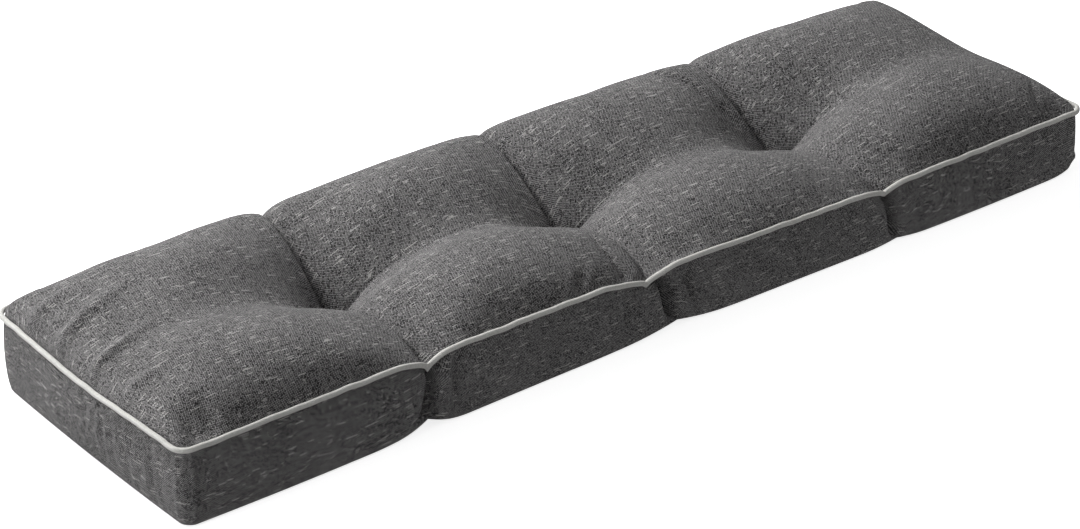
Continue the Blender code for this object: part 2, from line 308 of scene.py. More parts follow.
def underside_height(x, y):
    """0 where the cushion rests; its tufting is pulled up less than on top."""
    past_end = past_rest(x, REST_LENGTH, LENGTH)
    past_side = past_rest(y, REST_WIDTH, WIDTH)
    height = BOTTOM_SEAM_HEIGHT * np.maximum(past_end, past_side)
    height = height + pinched(x, y, 0.0, LIFT, LIFT_REACH) * across(y) ** 6
    height = height + np.where(x > 0, FAR_CORNER_LIFT, 0.0) * (past_end * across(y)) ** 3
    depth = UNDERSIDE_PIT * (1.0 - across(y)) ** PIT_FALL + BOTTOM_SEAM_HEIGHT * across(y)
    reach = mix(UNDERSIDE_REACH, UNDERSIDE_REACH / 3, across(y))
    for number in range(len(TUFTS)):
        height = np.maximum(height, depth * cusp((x - crease_x(number, y, 0.0)) / reach))
    return height


def boxing_fold(x, y, up):
    """How deep the boxing is folded in by the pinches."""
    return pinched(x, y, up, FOLD, FOLD_REACH) * np.sqrt(np.sin(np.pi * up))


def cover_points(lobe, y, up):
    """Where points of the cover lie on the filled cushion, as rows of X, Y, Z."""
    x = lobe_x(lobe, y, up)
    z = mix(underside_height(x, y), top_height(x, y), up)
    plan_x, plan_y = outline(x, y, up)
    end = np.where(lobe <= 0, -1.0, np.where(lobe >= LOBES, 1.0, 0.0))
    side = np.where(np.abs(y) > WIDTH / 2 - 1e-6, np.sign(y), 0.0)
    swell = np.where((up > 0) & (up < 1), np.sin(np.pi * up), 0.0)
    fold = np.where(swell > 0, boxing_fold(x, y, np.clip(up, 0.0, 1.0)), 0.0)
    plan_x = plan_x + end * END_BULGE * swell - np.abs(side) * FOLD_LEAN * fold
    plan_y = plan_y + side * (SIDE_BULGE * swell - fold) + CENTRING
    return np.stack([plan_x, plan_y, z], axis=-1)


print("written heights at the tufts:", top_height(*np.array(TUFTS).T).round(4))


# %% [markdown]
# ## The cover: a lattice
#
# The cover is six pieces of cloth: a top panel, a bottom panel and four lengths of boxing, which
# is the side strip. Each is a grid of faces. The lines of all six grids together are a lattice, so
# that neighbouring panels share their points along a seam, and nothing has to be merged later.

# %% Cover: the lattice
# Each panel lies on the first or the last line of one axis: 0 along, 1 across and 2 up.
PANELS = {"top": (2, True), "underside": (2, False), "front": (1, False), "back": (1, True),
          "near_end": (0, False), "far_end": (0, True)}


class Lattice:
    """The lines of a cover: along it in lobes, across it in metres, and up from 0 to 1."""

    def __init__(self, lobe_faces, half_width_faces, boxing_faces, crease_crowding, seam_crowding):
        one_lobe = crowded(lobe_faces, crease_crowding)
        lobes = [one_lobe + number for number in range(LOBES)]
        half = WIDTH / 2 * np.append(crowded(half_width_faces, seam_crowding), 1.0)
        self.lines = (np.append(np.concatenate(lobes), LOBES),
                      np.concatenate([-half[:0:-1], half]),
                      np.linspace(0.0, 1.0, boxing_faces + 1))
        self.last = tuple(len(line) - 1 for line in self.lines)

    def panel(self, name):
        """A panel's grid of lattice numbers, and whether its faces have to be turned over."""
        axis, at_last = PANELS[name]
        number = self.last[axis] if at_last else 0
        numbers = [np.arange(last + 1) for last in self.last]
        numbers[axis] = np.array([number])
        grid = np.stack(np.meshgrid(*numbers, indexing="ij"), axis=-1)
        return np.squeeze(grid, axis=axis), name in ("underside", "back", "near_end")

    def places(self, grid):
        """Lobe, y and up of a grid of lattice numbers."""
        return [self.lines[axis][grid[..., axis]] for axis in range(3)]


def corner_values(grid):
    """The four corners of each face of a grid, in the order that every panel uses."""
    return np.stack([grid[:-1, :-1], grid[1:, :-1], grid[1:, 1:], grid[:-1, 1:]], axis=2)


def key_of(grid):
    """One whole number for each point of the lattice."""
    return (grid[..., 0] * 1000 + grid[..., 1]) * 100 + grid[..., 2]


def panel_faces(lattice, name):
    grid, flip = lattice.panel(name)
    faces = corner_values(key_of(grid)[..., None])[..., 0]
    return faces[:, :, [0, 3, 2, 1] if flip else [0, 1, 2, 3]].reshape(-1, 4)


cut = Lattice(40, 24, 8, 0.5, 0.35)
fine = Lattice(80, 48, 26, 0.80, 0.55)
print("cut lattice:", cut.last, "faces along, across and up; fine lattice:", fine.last)

# %% [markdown]
# ## The cover: cloth that is tucked into place
#
# A maker cuts the panels flat and a few per cent larger than the cushion. The fullness only turns
# into domes, valleys and creases when the filling presses from inside and the tufts are pulled
# down. The simulation does just that. It starts from the flat panels, draws the seams and the
# tufts to the places that the functions above give, and lets pressure do the rest. Subdivision
# alone would round everything alike, and sculpted creases seldom run as straight as pulled ones.
#
# Two things need care. The pinned points are moved by a keyed shape key, because a value that is
# set by hand between frames resets the cloth. And a filled cushion is stiffer near its seams than
# a balloon, so a band beside the seams is held to the written shape, and fades out inwards.

# %% Cover: the simulation
FULLNESS_MIDDLE, FULLNESS_SEAMS = 0.028, 0.035   # along the cushion: on its middle line, at a seam
FULLNESS_BACK, FULLNESS_FRONT = 0.030, 0.068     # across its back half and its front half
FLATTER_BESIDE_TUFT = 0.06                       # how far from a tuft the front half is cut flatter
FULLER_LOBES = ((0.0, 1.5, 2.5, 3.5, 4.0), (0.0, 0.0, 0.020, 0.005, 0.0))
BOXING_HEIGHTS = (0.088, 0.079, 0.070)           # at the -X end, in the middle and at the +X end
FIRM_BAND, FIRM_FADE = 0.016, 0.045
BOXING_HOLD = 0.75                               # how firmly the boxing is held to its shape
FOLDED_FROM = 0.006                              # a boxing fold deeper than this is held fully
TUFT_GRIP = 0.012
TUCK_FRAMES, FRAMES = 15, 50
CLOTH = {"quality": 8, "mass": 0.17, "air_damping": 2.0, "tension_stiffness": 200.0,
         "compression_stiffness": 8.0, "shear_stiffness": 30.0, "bending_stiffness": 0.3,
         "use_pressure": True, "uniform_pressure_force": 1500.0}


def flat_points(lobe, y, up):
    """The panels as they are cut, standing loosely where the cushion will be."""
    tuft_lines = np.array([tuft[0] for tuft in TUFTS])
    x = np.interp(lobe, range(LOBES + 1), [-LENGTH / 2, *tuft_lines, LENGTH / 2])
    beside = np.abs(x[:, None] - tuft_lines).min(axis=1) / FLATTER_BESIDE_TUFT
    front = FULLNESS_FRONT * (1.0 - np.exp(-beside**2)) + np.interp(lobe, *FULLER_LOBES)
    fuller_along = mix(FULLNESS_MIDDLE, FULLNESS_SEAMS, across(y))
    fuller_across = np.where(y > 0, FULLNESS_BACK, front)
    height = np.interp(x, (-LENGTH / 2, 0.0, LENGTH / 2), BOXING_HEIGHTS)
    return np.stack([x * (1 + fuller_along), y * (1 + fuller_across) + CENTRING, up * height],
                    axis=-1)


def held_share(lobe, y, up, fitted):
    """1 where a point is sewn, tufted or folded in, less in the firm band, and 0 elsewhere."""
    x = lobe_x(lobe, y, up)
    to_end = np.maximum(LENGTH / 2 - np.abs(x), 1e-6)
    to_side = np.maximum(WIDTH / 2 - np.abs(y), 1e-6)
    from_seam = (to_end**-4 + to_side**-4) ** -0.25
    firm = smooth_step(1.0 - (from_seam - FIRM_BAND) / FIRM_FADE)
    firm = np.where((y < 0) & (to_side <= to_end), 0.0, firm)      # the front seam's side is free
    edge = (lobe <= 0) | (lobe >= LOBES) | (across(y) >= 1)
    top = up >= 1
    sewn = (up <= 0) | (top & edge)
    for tuft_x, tuft_y in TUFTS:
        reach = np.hypot(fitted[:, 0] - tuft_x, fitted[:, 1] - tuft_y - CENTRING)
        sewn = sewn | (top & (reach < TUFT_GRIP))
    folded = ~top & edge & (boxing_fold(x, y, np.clip(up, 0.0, 1.0)) > FOLDED_FROM)
    return np.where(sewn | folded, 1.0, np.where(top, firm, BOXING_HOLD))


def settle():
    """Runs the simulation on the cut lattice and returns its points, by lattice number."""
    keys = np.concatenate([panel_faces(cut, name) for name in PANELS if name != "underside"])
    used, faces = np.unique(keys, return_inverse=True)
    numbers = np.stack([used // 100000, used // 100 % 1000, used % 100], axis=-1)
    places = cut.places(numbers)
    fitted = cover_points(*places)
    mesh = bpy.data.meshes.new("settling")
    mesh.from_pydata(flat_points(*places).tolist(), [], faces.reshape(-1, 4).tolist())
    cloth = put_in_scene("settling", mesh)
    group = cloth.vertex_groups.new(name="held")
    for number, share in enumerate(held_share(*places, fitted)):
        if share > 0:
            group.add([number], float(share), "REPLACE")
    cloth.shape_key_add(name="flat")
    tucked = cloth.shape_key_add(name="tucked")
    tucked.data.foreach_set("co", fitted.astype(np.float32).ravel())
    for frame_number, value in ((1, 0.0), (TUCK_FRAMES, 1.0)):
        tucked.value = value
        tucked.keyframe_insert("value", frame=frame_number)
    modifier = cloth.modifiers.new("settling", "CLOTH")
    settings = modifier.settings
    for key, value in CLOTH.items():
        setattr(settings, key, value)
    settings.vertex_group_mass = group.name
    settings.effector_weights.gravity = 0.0
    modifier.collision_settings.use_collision = False
    modifier.collision_settings.use_self_collision = False
    modifier.point_cache.frame_end = FRAMES
    for frame_number in range(1, FRAMES + 1):
        bpy.context.scene.frame_set(frame_number)
    evaluated = cloth.evaluated_get(bpy.context.evaluated_depsgraph_get())
    points = np.array([vertex.co for vertex in evaluated.data.vertices])
    bpy.data.objects.remove(cloth)
    bpy.context.scene.frame_set(1)
    settled = np.zeros((*[last + 1 for last in cut.last], 3))
    settled[tuple(numbers.T)] = points
    furthest = 1000 * np.linalg.norm(points - fitted, axis=1).max()
    print("cloth settled:", len(points), "points, at most", round(furthest, 1),
          "mm from the written shape")
    return settled


settled = settle()

# %% [markdown]
# ## The cover: a fine mesh on the settled cloth
#
# The settled cloth is coarse. The fine lattice reads it with a cubic curve through four points
# each way, which keeps the creases' bottoms and rounds everything between them. Each panel has
# its own weave coordinates, in metres, that run along the two yarn directions of that piece. The
# cloth pattern below reads them, so its yarns keep their thickness where the cloth dives into a
# pit, and turn at the seams as real cloth does.


# %% Cover: reading the settled cloth
def cubic_weights(coarse_lines, fine_lines):
    """For each fine line, the coarse line before it and the weights of four lines round it."""
    place = np.interp(fine_lines, coarse_lines, np.arange(len(coarse_lines)))
    start = np.clip(np.floor(place).astype(int), 0, len(coarse_lines) - 2)
    t = place - start
    weights = np.stack([-t + 2 * t**2 - t**3, 2 - 5 * t**2 + 3 * t**3,
                        t + 4 * t**2 - 3 * t**3, t**3 - t**2], axis=1) / 2
    return start, weights


def read_between(values, axis, coarse_lines, fine_lines):
    """Cubic values on the fine lines, along one axis of a grid of values on the coarse lines."""
    values = np.moveaxis(values, axis, 0)
    padded = np.concatenate([2 * values[:1] - values[1:2], values, 2 * values[-1:] - values[-2:-1]])
    start, weights = cubic_weights(coarse_lines, fine_lines)
    total = sum(weights[:, n, None, None] * padded[start + n] for n in range(4))
    return np.moveaxis(total, 0, axis)


def panel_points(name):
    """The points of one panel: the settled cloth where there is one, or else the written shape."""
    if settled is None or name == "underside":
        return cover_points(*fine.places(fine.panel(name)[0]))
    coarse_grid, _ = cut.panel(name)
    values = settled[tuple(np.moveaxis(coarse_grid, -1, 0))]
    free = [axis for axis in range(3) if axis != PANELS[name][0]]
    for place, axis in enumerate(free):
        values = read_between(values, place, cut.lines[axis], fine.lines[axis])
    return values


top_points = panel_points("top")
print("top panel: highest point at", top_points[..., 2].max().round(4), "m")


# %% [markdown]
# ## The cover: creases and gathers
#
# The pulled cloth buckles in ways that are finer than the simulation's own faces. One or two sharp
# creases run from each tuft to the pinches in the seams, the boxing folds in below them, its
# upright corner seams draw in, the sewn near end gathers a little, and the filling is never quite
# even. They could be sculpted with a brush. Here each is a line with a depth, so that it can be
# moved by its numbers, and it is taken off the settled cloth.

# %% Cover: the creases' tables
# One row for each sharp crease, on the line from a tuft to its pinch: the tuft's number, the side
# (-1 is the front), the reach towards -X and +X, then shares of the way and the depths there.
CREASES = (
    (0, -1, 0.008, 0.024, (0.0, 0.15, 0.45, 0.85, 1.0), (0.000, 0.010, 0.018, 0.017, 0.003)),
    (0, 1, 0.008, 0.024, (0.0, 0.15, 0.45, 0.78, 1.0), (0.000, 0.012, 0.021, 0.016, 0.001)),
    (1, -1, 0.007, 0.018, (0.0, 0.15, 0.45, 0.85, 1.0), (0.000, 0.011, 0.017, 0.016, 0.003)),
    (1, 1, 0.008, 0.024, (0.0, 0.15, 0.40, 0.78, 1.0), (0.000, 0.012, 0.022, 0.016, 0.001)),
    (2, -1, 0.008, 0.026, (0.0, 0.15, 0.45, 0.85, 1.0), (0.000, 0.009, 0.015, 0.014, 0.002)),
    (2, 1, 0.008, 0.024, (0.0, 0.15, 0.40, 0.78, 1.0), (0.000, 0.011, 0.020, 0.015, 0.001)),
)
# One row for each soft furrow beside them: its half width, then its points by y, x and depth.
FURROWS = (
    (0.009, ((-0.172, -0.044, 0.000), (-0.160, -0.046, 0.009), (-0.120, -0.046, 0.009),
             (-0.085, -0.036, 0.000))),
    (0.013, ((-0.150, 0.004, 0.000), (-0.120, 0.007, 0.005), (-0.086, 0.012, 0.004),
             (-0.050, 0.016, 0.000))),
    (0.010, ((0.040, 0.284, 0.000), (0.062, 0.276, 0.008), (0.088, 0.267, 0.010),
             (0.115, 0.258, 0.007), (0.138, 0.243, 0.004), (0.160, 0.232, 0.000))),
    (0.010, ((-0.172, -0.566, 0.000), (-0.160, -0.566, 0.0030), (-0.136, -0.560, 0.0025),
             (-0.110, -0.552, 0.000))),
    (0.009, ((-0.172, -0.586, 0.000), (-0.164, -0.586, 0.0030), (-0.146, -0.588, 0.0020),
             (-0.120, -0.590, 0.000))),
    (0.011, ((-0.172, 0.345, 0.000), (-0.150, 0.348, 0.003), (-0.115, 0.350, 0.000))),
    (0.011, ((-0.172, -0.275, 0.000), (-0.150, -0.270, 0.003), (-0.115, -0.268, 0.000))),
)
# One row for each ridge that the near end's seam gathers up: its y at the seam, its slant, its half
# width, its length and its height.
GATHERS = (
    (0.118, 0.10, 0.013, 0.110, 0.0050),
    (0.060, 0.28, 0.013, 0.135, 0.0064),
    (-0.006, 0.22, 0.012, 0.120, 0.0058),
    (-0.070, 0.12, 0.013, 0.100, 0.0048),
)
CORNER_DIMPLE = (-0.572, -0.152, 0.034, 0.0085)      # x, y, reach and depth
# Beside each tuft the cloth dives in deeper, and stays low longest behind it and on its +X side.
TUFT_DIVE = 0.036
DIVE_REACHES_ALONG, DIVE_REACHES_ACROSS = (0.045, 0.080), (0.055, 0.100)
# The back half stands a little prouder beside the tufts than the pressure alone makes it.
BACK_PUFFS = ((-0.61, -0.42, -0.31, -0.25, -0.15, 0.0, 0.15, 0.27, 0.36, 0.46, 0.61),
              (0.000, 0.001, 0.007, 0.002, 0.004, 0.008, 0.005, 0.011, 0.009, 0.003, 0.000))
LUMP_HEIGHT = 0.0007       # of the uneven filling, on the top
BOXING_LUMP = 0.0014       # and on the boxing
LUMP_WAVES, SHORTEST_WAVE, LONGEST_WAVE = 9, 0.05, 0.13
SEAM_SINK = 0.0016         # how far an upright corner seam is drawn in
FOLD_SLIDE = 0.6           # how far the cloth slides along with a fold, as a share of its depth
ROLL_SHARE = 0.30          # how far it rolls out beside a fold, as a share of its depth
# One row for each fold in the boxing below a pinch: the pinches' row, its reach towards -X and
# towards +X, and its depth.
FOLDS = (
    (FRONT_PINCHES[0], 0.004, 0.013, 0.020),
    (FRONT_PINCHES[1], 0.006, 0.014, 0.019),
    (FRONT_PINCHES[2], 0.006, 0.014, 0.013),
)
# One row for each soft furrow in the front boxing: its x on the top and on the bottom seam, its
# half width and its depth.
FRONT_FURROWS = (
    (-0.150, -0.142, 0.014, 0.0034), (-0.128, -0.120, 0.011, 0.0024),
    (-0.030, -0.044, 0.009, 0.0050), (0.052, 0.050, 0.008, 0.0048),
    (0.352, 0.362, 0.008, 0.0042), (0.240, 0.250, 0.012, 0.0024),
    (-0.262, -0.272, 0.008, 0.0042), (-0.420, -0.430, 0.015, 0.0022),
    (0.008, 0.024, 0.006, 0.0080), (-0.022, -0.030, 0.007, 0.0040),
)


def lumps(a, b, seed):
    """Soft uneven filling, mostly within -1 and 1: a few long waves in seeded directions."""
    chance = np.random.default_rng(seed)
    total = np.zeros_like(a)
    for _ in range(LUMP_WAVES):
        turn, length, phase = chance.uniform((0, SHORTEST_WAVE, 0),
                                             (np.pi, LONGEST_WAVE, 2 * np.pi))
        total = total + np.sin(2 * np.pi * (a * np.cos(turn) + b * np.sin(turn)) / length + phase)
    return total / 4.0


print(len(CREASES), "creases,", len(FURROWS), "furrows,", len(GATHERS), "gathers,",
      len(FOLDS), "folds and", len(FRONT_FURROWS), "furrows in the boxing")


# %% Cover: the creases' shapes
def crease_depth(x, y):
    depths = []
    for number, side, left, right, shares, share_depths in CREASES:
        past = x - crease_x(number, y, 1.0)
        depth = np.where(y * side > 0, np.interp(across(y), shares, share_depths), 0.0)
        depths.append(depth * cusp(past / np.where(past < 0, left, right)))
    for half_width, line in FURROWS:
        line_y, line_x, line_depth = np.array(line).T
        depth = np.interp(y, line_y, line_depth, left=0.0, right=0.0)
        depths.append(depth * bell((x - np.interp(y, line_y, line_x)) / half_width))
    dives = []
    for tuft_x, tuft_y in TUFTS:
        past_x, past_y = x - tuft_x, y - tuft_y
        near = 1.0 - rise(np.abs(past_x), np.where(past_x < 0, *DIVE_REACHES_ALONG))
        beside = past_y / np.where(past_y < 0, *DIVE_REACHES_ACROSS)
        dives.append(TUFT_DIVE * near * mix(bell(beside), cusp(beside), near))
    return smooth_largest(depths) + smooth_largest(dives)


def gathered(x, y):
    """The ridges just inside the near end's seam."""
    from_end = x + LENGTH / 2
    height = np.zeros_like(x)
    for ridge_y, slant, half_width, length, ridge_height in GATHERS:
        beside = (y - ridge_y - slant * from_end) / half_width
        fading = bell(from_end / length) * rise(from_end, 0.004)
        height = height + ridge_height * bell(beside) * fading
    return height


def top_detail(x, y):
    """What is added to the settled height of the top panel, at a plan point."""
    inside = rise(np.minimum(LENGTH / 2 - np.abs(x), WIDTH / 2 - np.abs(y)), 0.012)
    puff = np.interp(x, *BACK_PUFFS) * bell((y - 0.125) / 0.110)
    dimple_x, dimple_y, reach, depth = CORNER_DIMPLE
    dimple = depth * bell(np.hypot(x - dimple_x, y - dimple_y) / reach)
    uneven = LUMP_HEIGHT * lumps(x, y, 11)
    return inside * (puff + uneven - dimple) + gathered(x, y) - crease_depth(x, y)


def boxing_detail(name, x, y, up):
    """How far the boxing stands out from its settled place, and how far it slides along itself."""
    long_side = name in ("front", "back")
    sideways, half = (x, LENGTH / 2) if long_side else (y, WIDTH / 2)
    swell = np.sin(np.pi * up)
    belly = np.sqrt(swell)      # rounder than the swell
    uneven = lumps(sideways, 0.03 * up, 5 + long_side) * rise(half - np.abs(sideways), 0.02)
    out, slide = BOXING_LUMP * uneven * swell, np.zeros_like(x)
    if name == "front":
        for row, left, right, depth in FOLDS:
            past = x - pinch_x(row, up)
            fold = depth * belly * cusp(past / np.where(past < 0, left, right))
            roll = ROLL_SHARE * depth * belly * bell((past - 1.3 * right) / right)
            out, slide = out - fold + roll, slide - FOLD_SLIDE * fold
        for top_x, bottom_x, half_width, depth in FRONT_FURROWS:
            furrow = bell((x - mix(bottom_x, top_x, up)) / half_width)
            out = out - depth * furrow * belly
    # The corner seam draws the cloth in along the upright edge, both ways at once.
    sink = SEAM_SINK * belly
    from_corner = half - np.abs(sideways)
    at_corner = from_corner < 1e-6
    out = np.where(at_corner, -sink, out)
    slide = np.where(at_corner, -np.sign(sideways) * sink, slide)
    return out, slide


def finished_points(name):
    """A panel's settled points, with its creases, gathers and uneven filling."""
    points = panel_points(name)
    lobe, y, up = fine.places(fine.panel(name)[0])
    x = lobe_x(lobe, y, up)
    if name == "top":
        points[..., 2] += top_detail(x, y)
    elif name != "underside":
        out, slide = boxing_detail(name, x, y, np.clip(up, 0.0, 1.0))
        axis, at_last = PANELS[name]
        points[..., axis] += out if at_last else -out
        points[..., 1 - axis] += slide
    return points


taken_off = (top_points - finished_points("top"))[..., 2]
print("top panel: lowered by up to", round(1000 * float(taken_off.max()), 1), "mm")


# %% Cover: weave coordinates
def lengths_along(points, axis):
    """Distance walked over the cloth along one direction of a grid of points."""
    steps = np.linalg.norm(np.diff(points, axis=axis), axis=2)
    walked = np.cumsum(steps, axis=axis)
    start = np.zeros_like(np.take(walked, [0], axis=axis))
    return np.concatenate([start, walked], axis=axis)


def weave_along(points, lines):
    """Yarn coordinate along the cushion: it starts again from the middle of each lobe."""
    walked = lengths_along(points, 0)
    middles = [int(np.argmin(np.abs(lines - (number + 0.5)))) for number in range(LOBES)]
    coordinates = np.empty(walked.shape + (2,))
    for side in (0, 1):          # a face in lobe n reads both its ends from that lobe's middle
        lobe = np.clip(np.floor(lines - 1e-6 * (1 - 2 * side)).astype(int), 0, LOBES - 1)
        for row, number in enumerate(lobe):
            middle = middles[number]
            flat = (number + 0.5) * LENGTH / LOBES
            coordinates[row, :, side] = flat + walked[row] - walked[middle]
    return coordinates


def weave_across(points):
    """Yarn coordinate across a panel: it is true at both long seams and blends between them."""
    walked = lengths_along(points, 1)
    total = walked[:, -1:]
    blend = smooth_step((walked / total - 0.15) / 0.7)
    return walked + (np.median(total) - total) * blend


def weave_corners(name, number, points):
    """Weave coordinates at the four corners of each face of a panel."""
    if name.endswith("end"):
        u = np.stack([lengths_along(points, 0)] * 2, axis=-1)
    else:
        u = weave_along(points, fine.lines[0])
    v = weave_across(points) if name in ("top", "underside") else lengths_along(points, 1)
    # On a face, corners 0 and 3 lie on its first line and corners 1 and 2 on the next.
    first = corner_values(np.stack([u[..., 1], v], axis=-1))
    last = corner_values(np.stack([u[..., 0], v], axis=-1))
    corners = np.stack([first[:, :, 0], last[:, :, 1], last[:, :, 2], first[:, :, 3]], axis=2)
    return corners + (0.0, 0.5 * number)      # so that no two panels share a pattern


middle_line = lengths_along(top_points, 0)[-1, fine.last[1] // 2]
print("cloth along the top's middle line:", middle_line.round(3), "m")


# %% Cover: building the mesh
def make_cover(name):
    keys, uvs, point_keys, points = [], [], [], []
    for number, panel in enumerate(PANELS):
        grid, flip = fine.panel(panel)
        placed = finished_points(panel)
        keys.append(panel_faces(fine, panel))
        order = [0, 3, 2, 1] if flip else [0, 1, 2, 3]
        uvs.append(weave_corners(panel, number, placed)[:, :, order].reshape(-1, 4, 2))
        point_keys.append(key_of(grid).ravel())
        points.append(placed.reshape(-1, 3))
    used, first_place = np.unique(np.concatenate(point_keys), return_index=True)
    points = np.concatenate(points)[first_place]
    faces = np.searchsorted(used, np.concatenate(keys))
    mesh = bpy.data.meshes.new(name)
    mesh.from_pydata(points.tolist(), [], faces.tolist())
    layer = mesh.uv_layers.new(name="weave")
    layer.uv.foreach_set("vector", np.concatenate(uvs).reshape(-1).astype(np.float32))
    mesh.shade_smooth()
    return put_in_scene(name, mesh)


cover = make_cover("cushion_cover")
print("cover:", len(cover.data.vertices), "points,", len(cover.data.polygons), "faces")

# %% [markdown]
# ## The welt
#
# A welt is a cord in a bias-cut cloth cover, sewn into the seam so that only the cord shows. It
# could be a curve with a round bevel. Geometry Nodes make it here, because its rings and sides
# can then be counted, and the bias weave laid on them. The path is the top seam, moved out and a
# little up, by the cord's radius and a hair's gap.

# %% Welt: its path
WELT_RADIUS, WELT_GAP, WELT_RISE = 0.0030, 0.0007, 0.35
WELT_WAVE = 0.0007         # a hand-fed cord never lies quite straight


def seam_points():
    """The top panel's edge, once round, from above against the clock."""
    top = finished_points("top")
    return np.concatenate([top[:-1, 0], top[-1, :-1], top[:0:-1, -1], top[0, :0:-1]])


def outward_of(points):
    """Level directions that point out of a closed line of points."""
    direction = np.roll(points, -1, axis=0) - np.roll(points, 1, axis=0)
    outward = np.stack([direction[:, 1], -direction[:, 0], np.zeros(len(points))], axis=1)
    return outward / np.linalg.norm(outward, axis=1, keepdims=True)


def make_closed_path(name, points):
    data = bpy.data.curves.new(name, "CURVE")
    data.dimensions = "3D"
    spline = data.splines.new("POLY")
    spline.points.add(len(points) - 1)
    spline.points.foreach_set("co", np.column_stack([points, np.ones(len(points))]).ravel())
    spline.use_cyclic_u = True
    return put_in_scene(name, data)


top_seam = seam_points()
lean = outward_of(top_seam) + (0.0, 0.0, WELT_RISE)
lean /= np.linalg.norm(lean, axis=1, keepdims=True)
welt_line = top_seam + lean * (WELT_RADIUS + WELT_GAP)
wavier = 2.2 * top_seam    # shorter waves than the filling's
welt_line[:, 2] += WELT_WAVE * lumps(wavier[:, 0], wavier[:, 1], 21)
welt_path = make_closed_path("welt_path", welt_line)
print("welt path:", len(top_seam), "points")


# %% Geometry Nodes helpers
def link_in(tree, value, socket):
    """Joins a socket to another, or sets its value."""
    if isinstance(value, bpy.types.NodeSocket):
        tree.links.new(value, socket)
    else:
        socket.default_value = value


def set_inputs(tree, node, **named):
    """Joins or sets inputs by their names, with _ for a space."""
    for key, value in named.items():
        link_in(tree, value, node.inputs[key.replace("_", " ")])


def add(tree, kind, *values, out=0, settings=None, **named):
    """Adds a node, sets its settings and its inputs, and returns one of its outputs."""
    node = tree.nodes.new(kind)
    for key, value in (settings or {}).items():
        setattr(node, key, value)
    for number, value in enumerate(values):
        if value is not None:
            link_in(tree, value, node.inputs[number])
    set_inputs(tree, node, **named)
    return node.outputs[out]


def new_tree(name, inputs):
    """A Geometry Nodes tree with named inputs: (name, socket type, value)."""
    tree = bpy.data.node_groups.new(name, "GeometryNodeTree")
    tree.interface.new_socket("Geometry", in_out="INPUT", socket_type="NodeSocketGeometry")
    for label, kind, value in inputs:
        socket = tree.interface.new_socket(label, in_out="INPUT", socket_type=kind)
        socket.default_value = value
    tree.interface.new_socket("Geometry", in_out="OUTPUT", socket_type="NodeSocketGeometry")
    return tree, tree.nodes.new("NodeGroupInput").outputs


def finish_tree(tree, geometry, material):
    """Ends a tree in Realize Instances and Set Material."""
    real = add(tree, "GeometryNodeRealizeInstances", geometry)
    painted = add(tree, "GeometryNodeSetMaterial", real, Material=material)
    tree.links.new(painted, tree.nodes.new("NodeGroupOutput").inputs[0])


def grown(path, tree, name, **sizes):
    """Runs a tree on a path and returns the result as a plain mesh object."""
    modifier = path.modifiers.new(name, "NODES")
    modifier.node_group = tree
    for socket in tree.interface.items_tree:
        if socket.in_out == "INPUT" and socket.name in sizes:
            modifier[socket.identifier] = sizes[socket.name]
    evaluated = path.evaluated_get(bpy.context.evaluated_depsgraph_get())
    mesh = bpy.data.meshes.new_from_object(evaluated)
    mesh.name = name
    piece = put_in_scene(name, mesh)
    bpy.data.objects.remove(path)
    return piece


print("helpers for node trees: add, set_inputs, new_tree, finish_tree and grown")


# %% [markdown]
# ## Finishes
#
# The cover is a plain weave of melange yarns: each yarn is spun from light and dark fibres, so
# its tone drifts along its length, and now and then it thickens into a light slub. An image
# would blur when looked at closely, so the yarns are worked out from the weave coordinates: the
# whole part of a coordinate numbers the yarn, and noise read along it gives its tone. The welt's
# cloth comes from the same tree with a finer pitch and paler tones.

# %% Cover cloth
YARN_PITCH = 0.0012        # metres from one yarn to the next
STREAKS_PER_METRE, FLECKS_PER_METRE = 45.0, 480.0
STREAK_SHARE, FLECK_SHARE = 0.20, 0.62
SLUBS_PER_METRE = {"warp": 130.0, "weft": 60.0}
NOISE_STEP = 17.31         # yarns lie this far apart in the noise, so that no two are alike
SLUB_FADE, SLUB_COVER, SLUB_THICKNESS = 0.05, 0.75, 0.8
CHECK_CONTRAST = 0.24      # how much lighter the weft is spun than the warp
CLOUD_SCALE, CLOUD_CONTRAST = 14.0, 0.10
TONE_STOPS = (0.37, 0.49, 0.64)
BUMP_STRENGTH, YARN_HEIGHT = 0.6, 0.0005


def new_material(name):
    """A material, its tree and its shader."""
    material = bpy.data.materials.new(name)
    material.use_nodes = True
    return material, material.node_tree, material.node_tree.nodes["Principled BSDF"]


